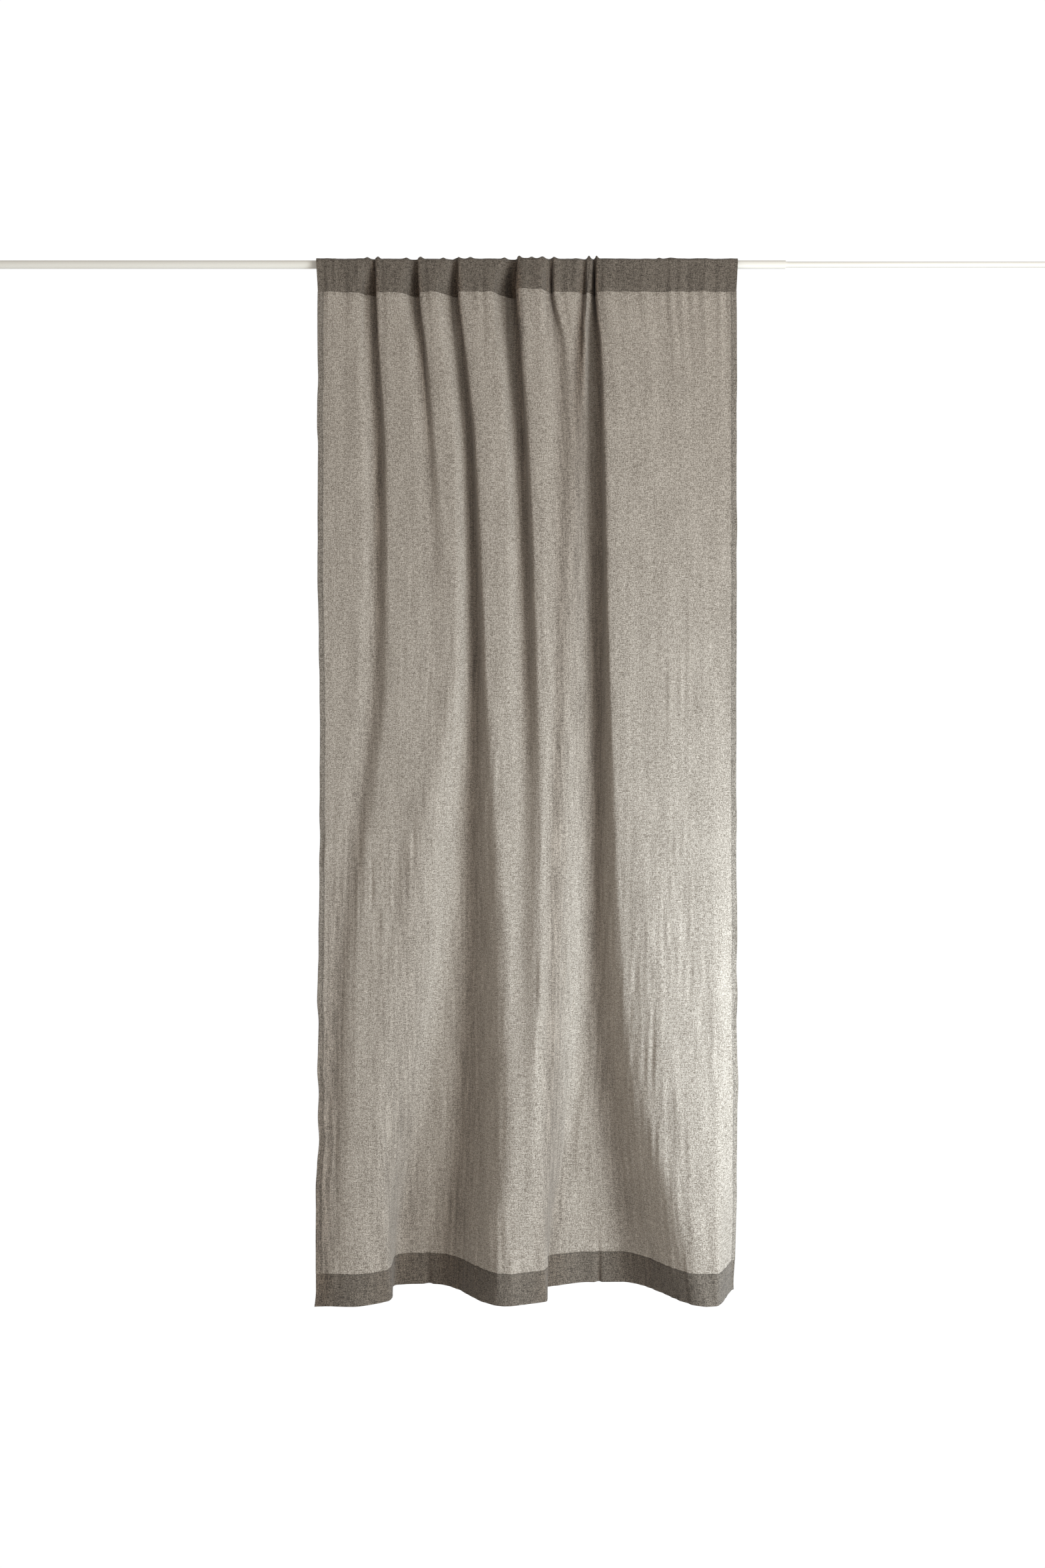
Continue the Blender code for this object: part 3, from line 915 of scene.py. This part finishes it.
def make_mesh(
    name: str,
    points: np.ndarray,
    faces: list[tuple[int, ...]],
    attributes: dict[str, np.ndarray] | None = None,
) -> bpy.types.Object:
    """Makes a smooth mesh object.

    Args:
        name: The piece's name.
        points: One place for each vertex.
        faces: The vertices of each face.
        attributes: Numbers or vectors for each vertex, which the finishes read.

    Returns:
        The object, in the scene.
    """
    mesh = bpy.data.meshes.new(name)
    mesh.from_pydata(points.reshape(-1, 3).tolist(), [], faces)
    for key, values in (attributes or {}).items():
        vector = values.ndim == 2
        data = mesh.attributes.new(key, "FLOAT_VECTOR" if vector else "FLOAT", "POINT").data
        data.foreach_set("vector" if vector else "value", values.astype(np.float32).ravel())
    mesh.shade_smooth()
    piece = bpy.data.objects.new(name, mesh)
    bpy.context.scene.collection.objects.link(piece)
    return piece


def make_sheet(
    name: str,
    points: np.ndarray,
    flat: tuple[np.ndarray, np.ndarray],
    doubled: Any = 0.0,
    painted_shade: Any = 0.0,
) -> bpy.types.Object:
    """Makes one layer of cloth from a grid of points.

    Args:
        name: The piece's name.
        points: Rows by columns by 3, from the top row down as seen from the room.
        flat: The flat place of each column and of each row.
        doubled: Where the cloth lies on another layer of itself, and so gets painted shade, from 0
            to 1.
        painted_shade: Where the folds' shade is painted on it, from 0 to 1.

    Returns:
        The piece.
    """
    rows, columns = points.shape[:2]
    index = np.arange(rows * columns).reshape(rows, columns)
    corners = (index[:-1, :-1], index[1:, :-1], index[1:, 1:], index[:-1, 1:])
    faces = np.stack([corner.ravel() for corner in corners], axis=1).tolist()
    across, along = np.broadcast_arrays(flat[0][None, :], flat[1][:, None])
    place = np.stack((across, along, np.zeros_like(across)), axis=2).reshape(-1, 3)
    attributes = {"flat": place}
    for key, mask in (("doubled", doubled), ("painted_shade", painted_shade)):
        attributes[key] = np.broadcast_to(mask, (rows, columns)).astype(float).ravel()
    return make_mesh(name, points, faces, attributes)


# ------------------------------------------------------------------------------- sub-assemblies


@dataclass
class Draw:
    """How the cloth is drawn along the rod: it gathers towards its left-hand edge."""

    left: float
    right: float
    travel: float = 0.45
    joint: str = "panel_draw"

    @property
    def keep(self) -> float:
        """Returns the share of its width that the fully drawn cloth keeps."""
        return 1 - self.travel / (self.right - self.left)

    def follow_drop(self, piece: bpy.types.Object) -> None:
        """Hangs a piece on the drop."""
        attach(piece, "drop")
        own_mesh(piece)

    def follow_leading_edge(self, piece: bpy.types.Object) -> None:
        """Hangs a piece on the edge that is pulled."""
        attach(piece, "leading_edge")
        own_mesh(piece)


@dataclass
class Panel:
    """The hanging cloth between the heading seam and the foot."""

    drape: Drape
    seam: float
    foot: float
    side_hem: float = 0.016
    foot_hem: float = 0.075
    columns: int = 486
    rows: int = 180
    hem_rows: int = 9
    step: float = 0.5 * MILLIMETRE  # from a hem's edge to the points on either side of it
    side_hem_shade: float = 0.45  # how much painted shade a side hem's second layer puts on the cloth

    def columns_across(self) -> np.ndarray:
        """Spaces the columns, with points at the side hems' edges.

        Returns:
            The columns' flat places.
        """
        width, hem, step = self.drape.flat_width, self.side_hem, self.step
        edge = np.array([0.0, 0.3 * hem, 0.65 * hem, hem - step, hem + step])
        middle = np.linspace(hem + step, width - hem - step, self.columns)[1:-1]
        return np.concatenate((edge, middle, width - edge[::-1]))

    def rows_down(self) -> np.ndarray:
        """Spaces the rows, closer together at the seam and with points at the foot hem's edge.

        Returns:
            The rows' heights below the rod's axis.
        """
        head = self.foot - self.foot_hem
        below_seam = self.seam + np.array([0.0, 0.0015, 0.003, 0.006, 0.010, 0.016])
        middle = np.linspace(below_seam[-1], head - self.step, self.rows)[1:]
        hem = np.linspace(head + self.step, self.foot, self.hem_rows)
        return np.concatenate((below_seam, middle, hem))

    def build(self) -> bpy.types.Object:
        """Hangs the cloth, pinched where the heading seam and the hem's stitches hold it.

        Returns:
            The piece.
        """
        across, down = self.columns_across(), self.rows_down()
        points, normals = self.drape.surface(across, down)
        head = self.foot - self.foot_hem
        pinch = hump(down - self.seam, 0.005) * 0.0008 + hump(down - head, 0.006) * 0.0005
        points -= normals * pinch[:, None, None]
        width = self.drape.flat_width
        at_side = (across < self.side_hem) | (across > width - self.side_hem)
        # painted shade: the side hems and the foot hem are marked to be painted darker where the
        # cloth is doubled
        doubled = np.maximum(self.side_hem_shade * at_side[None, :], 1.0 * (down > head)[:, None])
        painted_shade = self.drape.paint_shade(across, down)
        return make_sheet("hanging_cloth", points, (across, down), doubled, painted_shade)


@dataclass(frozen=True)
class Pleat:
    """A small pleat that stands above the rod."""

    x: float
    height: float
    half_width: float


PLEATS = (
    Pleat(-0.383, 0.0045, 0.006),
    Pleat(-0.357, 0.0065, 0.005),
    Pleat(-0.289, 0.0040, 0.006),
    Pleat(-0.255, 0.0065, 0.006),
    Pleat(-0.201, 0.0040, 0.005),
    Pleat(-0.166, 0.0050, 0.008),
    Pleat(-0.136, 0.0045, 0.007),
    Pleat(-0.054, 0.0045, 0.006),
    Pleat(-0.019, 0.0070, 0.005),
    Pleat(0.011, 0.0045, 0.006),
    Pleat(0.037, 0.0055, 0.007),
    Pleat(0.064, 0.0055, 0.007),
    Pleat(0.148, 0.0085, 0.004),
    Pleat(0.166, 0.0085, 0.004),
    Pleat(0.316, 0.0035, 0.005),
    Pleat(0.343, 0.0025, 0.012),
)


@dataclass
class Pocket:
    """The doubled heading that the rod runs through."""

    drape: Drape
    seam: float
    radius: float  # the rod's, with the cloth's room to slide on it
    columns: int = 560
    front_rows: int = 22
    crown_rows: int = 18
    back_rows: int = 12
    stand: float = 1.0 * MILLIMETRE  # how far the back layer stands behind the front at the seam
    back_fullness: float = 0.35  # how far the back layer's gathers stand out, next to the front's
    top_shade: float = 0.6  # how much of the front layer's painted shade goes on over the rod

    def peaks(self, x: np.ndarray) -> np.ndarray:
        """Raises the gathered cloth above the rod.

        Args:
            x: Places across.

        Returns:
            How far the cloth stands above the rod at each place.
        """
        total = MILLIMETRE * (0.7 + 0.5 * uneven(x + 1.0, 0 * x, (0.012, 1.0), 21))
        total = total + MILLIMETRE * 0.5 * uneven(x + 1.0, 0 * x, (0.05, 1.0), 22)
        for pleat in PLEATS:
            total = total + pleat.height * hump(x - pleat.x, pleat.half_width)
        return total

    def rod_reach(self, down: np.ndarray) -> np.ndarray:
        """Returns how far the rod reaches from its middle at each height, 0 below the rod."""
        return np.sqrt(np.maximum(self.radius**2 - down**2, 0))

    def front(self, across: np.ndarray, down: np.ndarray) -> tuple[np.ndarray, np.ndarray]:
        """Hangs the front layer, which leans forward from the seam and never enters the rod.

        Args:
            across: Distances from the cloth's left-hand edge.
            down: Heights below the rod's axis, from the seam up.

        Returns:
            The layer's places, and those of the back layer at the seam.
        """
        points, normals = self.drape.surface(across, down)
        pinch = hump(down - self.seam, 0.004) * 0.0006
        points -= normals * pinch[:, None, None]
        upper = (1 - down / self.seam)[:, None]
        deepest = points[-1, :, 1].max()
        points[:, :, 1] += (-self.radius - deepest) * upper
        reach = self.rod_reach(down)[:, None]
        points[:, :, 1] = np.minimum(points[:, :, 1], np.where(reach > 0, -reach, np.inf))
        return points, points[0] - normals[0] * self.stand

    def crown(self, x: np.ndarray, before: np.ndarray, behind: np.ndarray) -> np.ndarray:
        """Takes the cloth over the rod.

        Args:
            x: Places across.
            before: How far in front of the rod's axis the front layer ends at each x.
            behind: How far behind the axis the back layer starts.

        Returns:
            The places, from front to back.
        """
        turn = np.linspace(0, math.pi, self.crown_rows + 2)[1:-1, None]
        nearer = np.where(turn < math.pi / 2, before, behind)
        points = np.zeros((len(turn), len(x), 3))
        points[:, :, 0] = x
        points[:, :, 1] = -nearer * np.cos(turn)
        points[:, :, 2] = (self.radius + self.peaks(x)) * np.sin(turn)
        return points

    def back(self, x: np.ndarray, behind: np.ndarray, foot: np.ndarray) -> np.ndarray:
        """Brings the back layer down to the seam.

        Args:
            x: Places across.
            behind: How far behind the rod's axis it starts at each x.
            foot: Its places at the seam.

        Returns:
            The layer's places.
        """
        share = np.linspace(0, 1, self.back_rows)[:, None]
        points = np.zeros((len(share), len(x), 3))
        points[:, :, 0] = x + (foot[:, 0] - x) * share
        points[:, :, 1] = behind + (foot[:, 1] - behind) * share
        points[:, :, 2] = -self.seam * share
        reach = self.rod_reach(self.seam * share)
        points[:, :, 1] = np.maximum(points[:, :, 1], np.where(reach > 0, reach, -np.inf))
        return points

    def build(self) -> bpy.types.Object:
        """Wraps the cloth up the front, over the rod and down the back to the seam.

        Returns:
            The piece.
        """
        across = np.linspace(0, self.drape.flat_width, self.columns)
        down = np.linspace(self.seam, 0, self.front_rows)
        front, foot = self.front(across, down)
        x, before = front[-1, :, 0], -front[-1, :, 1]
        behind = self.radius + self.back_fullness * (before - self.radius)
        crown = self.crown(x, before, behind)
        points = np.concatenate((front, crown, self.back(x, behind, foot)))
        middle = points[:, len(across) // 2]
        along = np.concatenate(([0], np.cumsum(np.linalg.norm(np.diff(middle, axis=0), axis=1))))
        # painted shade: the front layer's fold shade goes on over the rod, and the whole pocket gets
        # the painted shade of doubled cloth
        shade = self.drape.paint_shade(across, down)
        rest = np.repeat(shade[-1:], len(points) - len(down), axis=0) * self.top_shade
        painted_shade = np.concatenate((shade, rest))
        piece = make_sheet("heading_pocket", points, (across, -along), 1.0, painted_shade)
        piece.data.flip_normals()
        return piece


@dataclass
class Hems:
    """The turned layers behind the panel's foot and its two sides."""

    panel: Panel
    thickness: float = 0.9 * MILLIMETRE  # from the panel to the layer behind it
    turn_points: int = 6
    flat_rows: int = 10
    flat_columns: int = 6

    def behind(self, share: np.ndarray) -> tuple[np.ndarray, np.ndarray]:
        """Rounds a turned edge.

        Args:
            share: From 0 at the cloth's edge to 1 where the layer lies flat behind it.

        Returns:
            How far past the edge and how far behind the cloth the layer is.
        """
        half = self.thickness / 2
        angle = share * math.pi
        return half * np.sin(angle), half * (1 - np.cos(angle))

    def foot(self) -> bpy.types.Object:
        """Turns the foot up behind the panel.

        Returns:
            The piece.
        """
        panel = self.panel
        across = panel.columns_across()
        turned = np.linspace(0, 1, self.turn_points)
        past, back = self.behind(turned)
        flat_rows = np.linspace(panel.foot, panel.foot - panel.foot_hem, self.flat_rows)[1:]
        heights = np.concatenate((panel.foot + 0 * turned, flat_rows))
        offsets = np.concatenate((back, self.thickness + 0 * flat_rows))
        points, normals = panel.drape.surface(across, heights)
        points -= normals * offsets[:, None, None]
        points[: len(turned), :, 2] -= past[:, None]
        flat = panel.foot + np.concatenate((turned * self.thickness, panel.foot - flat_rows))
        # painted shade of the folds, on the turned layer too
        shade = panel.drape.paint_shade(across, heights)
        return make_sheet("foot_hem", points, (across, flat), 1.0, shade)

    def side(self, name: str, right: bool) -> bpy.types.Object:
        """Turns one side edge in behind the panel.

        Args:
            name: The piece's name.
            right: Whether it is the right-hand edge.

        Returns:
            The piece.
        """
        panel = self.panel
        down = panel.rows_down()
        down = down[down < panel.foot - panel.foot_hem]
        turned = np.linspace(0, 1, self.turn_points - 1)
        past, back = self.behind(turned)
        inward = np.linspace(0, panel.side_hem, self.flat_columns)[1:]
        from_edge = np.concatenate((0 * turned, inward))
        offsets = np.concatenate((back, self.thickness + 0 * inward))
        across = panel.drape.flat_width - from_edge if right else from_edge
        order = np.argsort(across, kind="stable")
        points, normals = panel.drape.surface(across[order], down)
        undo = np.argsort(order, kind="stable")
        points, normals = points[:, undo], normals[:, undo]
        points -= normals * offsets[None, :, None]
        outward = np.stack((-normals[:, :, 1], normals[:, :, 0], 0 * normals[:, :, 0]), axis=2)
        beyond = np.concatenate((past, 0 * inward)) * (1 if right else -1)
        points += outward * beyond[None, :, None]
        # painted shade of the folds, on the turned layer too
        shade = panel.drape.paint_shade(across[order], down)[:, undo]
        return make_sheet(name, points, (across, down), 1.0, shade)


@dataclass
class Stitches:
    """A row of lockstitches, each a short length of thread that dips into the cloth."""

    drape: Drape
    length: float = 3.0 * MILLIMETRE
    gap: float = 0.5 * MILLIMETRE
    thread: float = 0.55 * MILLIMETRE
    sides: int = 6

    # Along a stitch, where its rings lie, how far they stand off the cloth and how thick they are,
    # as shares of the stitch's length and of the thread
    RING_PLACES = (0.0, 0.22, 0.78, 1.0)
    RING_RISES = (-0.35, 0.30, 0.30, -0.35)
    RING_SIZES = (0.55, 1.0, 1.0, 0.55)

    def along(self, start: float, end: float) -> np.ndarray:
        """Spaces the stitches.

        Args:
            start: Where the first stitch starts.
            end: Where the last one has to have ended.

        Returns:
            Where each stitch's rings lie, as stitches by rings.
        """
        count = int((end - start) / (self.length + self.gap))
        first = start + (self.length + self.gap) * np.arange(count)
        return first[:, None] + self.length * np.array(self.RING_PLACES)

    def build(self, name: str, places: np.ndarray, normals: np.ndarray) -> bpy.types.Object:
        """Makes the row.

        Args:
            name: The piece's name.
            places: Where the rings lie on the cloth, stitches by rings by 3.
            normals: The cloth's normals there.

        Returns:
            The piece.
        """
        count, rings = places.shape[:2]
        rise = np.array(self.RING_RISES) * self.thread
        swell = np.array(self.RING_SIZES) * self.thread / 2
        middle = places + normals * rise[None, :, None]
        forward = places[:, -1:] - places[:, :1]
        forward = forward / np.linalg.norm(forward, axis=2, keepdims=True)
        side = np.cross(forward, normals)
        turn = np.arange(self.sides) * math.tau / self.sides
        ring = normals[:, :, None] * np.cos(turn)[:, None]
        ring = ring + side[:, :, None] * np.sin(turn)[:, None]
        points = middle[:, :, None] + ring * swell[None, :, None, None]
        faces: list[tuple[int, ...]] = []
        for stitch in range(count):
            start = stitch * rings * self.sides
            for band in range(rings - 1):
                low = start + band * self.sides
                high = low + self.sides
                for k in range(self.sides):
                    after = (k + 1) % self.sides
                    faces.append((low + k, low + after, high + after, high + k))
            faces.append(tuple(start + k for k in reversed(range(self.sides))))
            last = start + (rings - 1) * self.sides
            faces.append(tuple(last + k for k in range(self.sides)))
        return make_mesh(name, points, faces)

    def level(self, name: str, down: float, start: float, end: float) -> bpy.types.Object:
        """Sews across the cloth at one height.

        Args:
            name: The piece's name.
            down: The height below the rod's axis.
            start: Where the row starts, from the cloth's left-hand edge.
            end: Where it ends.

        Returns:
            The piece.
        """
        across = self.along(start, end)
        points, normals = self.drape.surface(across.ravel(), np.array([down]))
        shape = (*across.shape, 3)
        return self.build(name, points.reshape(shape), normals.reshape(shape))

    def upright(self, name: str, across: float, start: float, end: float) -> bpy.types.Object:
        """Sews down the cloth along one thread of it.

        Args:
            name: The piece's name.
            across: The thread's distance from the cloth's left-hand edge.
            start: The height below the rod's axis at which the row starts.
            end: The height at which it ends.

        Returns:
            The piece.
        """
        down = self.along(start, end)
        points, normals = self.drape.surface(np.array([across]), down.ravel())
        shape = (*down.shape, 3)
        return self.build(name, points.reshape(shape), normals.reshape(shape))


@dataclass
class CareLabel:
    """A short loop of blank satin tape, sewn into the foot hem behind the panel."""

    rows: int = 18
    columns: int = 7
    least_depth: float = 1.5 * MILLIMETRE

    def build(self) -> bpy.types.Object:
        """Folds the tape where the frame has its solid.

        Returns:
            The piece.
        """
        low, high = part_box("care_label")
        drop = high.z - low.z
        depth = max(high.y - low.y, self.least_depth)
        x = np.linspace(low.x, high.x, self.columns)
        share = np.linspace(0, 1, self.rows)
        points = np.zeros((self.rows, self.columns, 3))
        points[:, :, 0] = x
        points[:, :, 1] = low.y + (share * depth)[:, None]
        points[:, :, 2] = (high.z - drop * np.sin(share * math.pi))[:, None]
        return make_sheet("blank_care_label", points, (x - low.x, share * 2 * drop))


@dataclass
class Rod:
    """The telescopic rod, whose own solids keep their shape."""

    def dress(self, wardrobe: Wardrobe) -> None:
        """Lacquers the two tubes and dresses the plugs and bushes in plastic.

        Args:
            wardrobe: What makes the finishes.
        """
        for node in ("outer_tube", "inner_tube"):
            wardrobe.dress(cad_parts[node], Slot.ROD_LACQUER)
        for node in ("mouth_bush", "guide_bush", "left_end_plug", "right_end_plug"):
            wardrobe.dress(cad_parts[node], Slot.ROD_PLASTIC)


@dataclass(frozen=True)
class Lamp:
    """One soft square lamp: where it stands, what it points at, its side and its watts."""

    name: str
    place: Sequence[float]
    aim: Sequence[float]
    side: float
    power: float
    colour: Colour

    def build(self) -> None:
        """Hangs the lamp where the camera doesn't see it."""
        data = bpy.data.lights.new(self.name, "AREA")
        data.size = self.side
        data.energy = self.power
        data.color = self.colour
        lamp = bpy.data.objects.new(self.name, data)
        lamp.location = self.place
        way = Vector(self.aim) - Vector(self.place)
        lamp.rotation_euler = way.to_track_quat("-Z", "Y").to_euler()
        lamp.visible_camera = False
        bpy.context.scene.collection.objects.link(lamp)


LAMPS = (
    Lamp("key", (3.0, -3.0, -0.9), (0.0, 0.0, -1.3), 2.0, 112.0, (0.96, 0.99, 1.0)),
    Lamp("low_window", (1.25, -0.80, -1.80), (0.40, 0.0, -1.75), 0.7, 30.0, (0.72, 0.87, 1.0)),
)


@dataclass
class Studio:
    """A white room with a pale floor, soft light and the camera."""

    distance: float = 3.05
    view_height: float = 3.766  # what the camera sees from top to bottom, in the rod's plane
    sensor: float = 36.0
    camera_x: float = -0.0112
    camera_z: float = -1.2474
    floor_z: float = -3.30
    floor_half_width: float = 5.0
    floor_near: float = -7.0
    floor_far: float = 0.2
    white: float = 1.02
    ambient: float = 0.45

    def camera(self) -> None:
        """Places the camera level in front of the panel."""
        data = bpy.data.cameras.new("camera")
        data.sensor_width = self.sensor
        data.lens = self.sensor * self.distance / self.view_height
        data.clip_end = 100.0
        camera = bpy.data.objects.new("camera", data)
        camera.location = (self.camera_x, -self.distance, self.camera_z)
        camera.rotation_euler = (math.pi / 2, 0.0, 0.0)
        bpy.context.scene.collection.objects.link(camera)
        bpy.context.scene.camera = camera

    def world(self) -> None:
        """Surrounds the panel with even white light."""
        world = bpy.data.worlds.new("white_room")
        world.use_nodes = True
        nodes = Nodes(world.node_tree)
        seen = nodes.node("LightPath", output="Is Camera Ray")
        plain = {"Color": rgba((1.0, 1.0, 1.0))}
        warm = {"Color": rgba((1.0, 0.985, 0.965))}
        light = nodes.node("Background", {}, warm | {"Strength": self.ambient})
        paper = nodes.node("Background", {}, plain | {"Strength": self.white})
        nodes.close("OutputWorld", nodes.node("MixShader", {}, {0: seen, 1: light, 2: paper}))
        bpy.context.scene.world = world
        bpy.context.scene.view_settings.view_transform = "Standard"

    def floor(self) -> None:
        """Lays the floor well below the panel's foot."""
        half, near, far = self.floor_half_width, self.floor_near, self.floor_far
        outline = ((-half, near), (half, near), (half, far), (-half, far))
        corners = np.array([(x, y, self.floor_z) for x, y in outline])
        floor = make_mesh("studio_floor", corners, [(0, 1, 2, 3)])
        s = Surface("pale_floor")
        place = s.node("TexCoord", {}, {}, "Object")
        mottle = s.noise(place, (2.0, 2.0, 2.0), 2.0)
        white = s.blended(0.5 + mottle * 0.5, rgba((0.94, 0.94, 0.93)), rgba((0.97, 0.97, 0.96)))
        floor.data.materials.append(s.finished(s.shader({"Base Color": white, "Roughness": 0.9})))

    def build(self) -> None:
        """Sets up the whole room."""
        self.camera()
        self.world()
        self.floor()
        for lamp in LAMPS:
            lamp.build()


# ------------------------------------------------------------------------------------- assembly


def report(piece: bpy.types.Object) -> bpy.types.Object:
    """Logs a finished piece and passes it on."""
    LOG.info("%s: %d faces", piece.name, len(piece.data.polygons))
    return piece


def finish_sheet(
    piece: bpy.types.Object,
    wardrobe: Wardrobe,
    slot: Slot,
    place: Callable[[bpy.types.Object], None],
    nodes: Sequence[str],
) -> bpy.types.Object:
    """Dresses a layer of cloth, hangs it and hides the solids that it stands for.

    Args:
        piece: The layer.
        wardrobe: What makes its finish.
        slot: The finish.
        place: What hangs it on its body.
        nodes: The solids that it stands for.

    Returns:
        The layer.
    """
    wardrobe.dress(piece, slot)
    place(piece)
    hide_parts(*nodes)
    return report(piece)


def finish_stitches(
    piece: bpy.types.Object,
    wardrobe: Wardrobe,
    place: Callable[[bpy.types.Object], None],
    node: str,
) -> bpy.types.Object:
    """Dresses a row of stitches, hangs it and hides the solid that it stands for.

    Args:
        piece: The row.
        wardrobe: What makes its finish.
        place: What hangs it on its body.
        node: The solid that it stands for.

    Returns:
        The row.
    """
    wardrobe.dress(piece, Slot.THREAD)
    place(piece)
    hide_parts(node)
    return report(piece)


def main() -> None:
    """Builds the studio, the rod and the curtain."""
    logging.basicConfig(level=logging.INFO, format="%(message)s")
    wardrobe = Wardrobe()
    Studio().build()
    Rod().dress(wardrobe)

    low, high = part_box("face_panel")
    foot = -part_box("bottom_hem")[0].z - TAKE_UP
    seam = -high.z
    flat_width = 1.400
    drape = Drape(left=low.x, right=high.x, flat_width=flat_width)
    draw = Draw(left=low.x, right=high.x)
    panel = Panel(drape, seam=seam, foot=foot)
    rod_radius, room_to_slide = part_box("outer_tube")[1].z, 0.8 * MILLIMETRE
    pocket = Pocket(drape, seam=seam, radius=rod_radius + room_to_slide)

    hems = Hems(panel)
    drop, edge = draw.follow_drop, draw.follow_leading_edge
    linen, doubled = Slot.LINEN, Slot.DOUBLED_LINEN
    finish_sheet(panel.build(), wardrobe, linen, drop, ["face_panel"])
    nodes = ["pocket_crown", "pocket_front", "pocket_back"]
    finish_sheet(pocket.build(), wardrobe, doubled, drop, nodes)
    finish_sheet(
        hems.foot(), wardrobe, doubled, drop, ["bottom_hem"]
    )
    left = hems.side("left_hem", right=False)
    finish_sheet(left, wardrobe, doubled, drop, ["left_side_hem"])
    right = hems.side("right_hem", right=True)
    finish_sheet(right, wardrobe, doubled, edge, ["right_side_hem"])

    stitches = Stitches(drape)
    inset = 0.003
    head = foot - panel.foot_hem
    line = panel.side_hem - inset
    for name, down, node in (
        ("heading_stitches", seam - inset, "heading_seam"),
        ("foot_hem_stitches", head + inset, "bottom_hem_seam"),
    ):
        row = stitches.level(name, down, inset, flat_width - inset)
        finish_stitches(row, wardrobe, drop, node)
    row = stitches.upright("left_hem_stitches", line, seam + inset, head)
    finish_stitches(row, wardrobe, drop, "left_hem_seam")
    row = stitches.upright("right_hem_stitches", flat_width - line, seam + inset, head)
    finish_stitches(row, wardrobe, edge, "right_hem_seam")

    label = CareLabel().build()
    tape = Slot.LABEL_TAPE
    finish_sheet(label, wardrobe, tape, drop, ["care_label"])


if __name__ == "__main__":
    main()
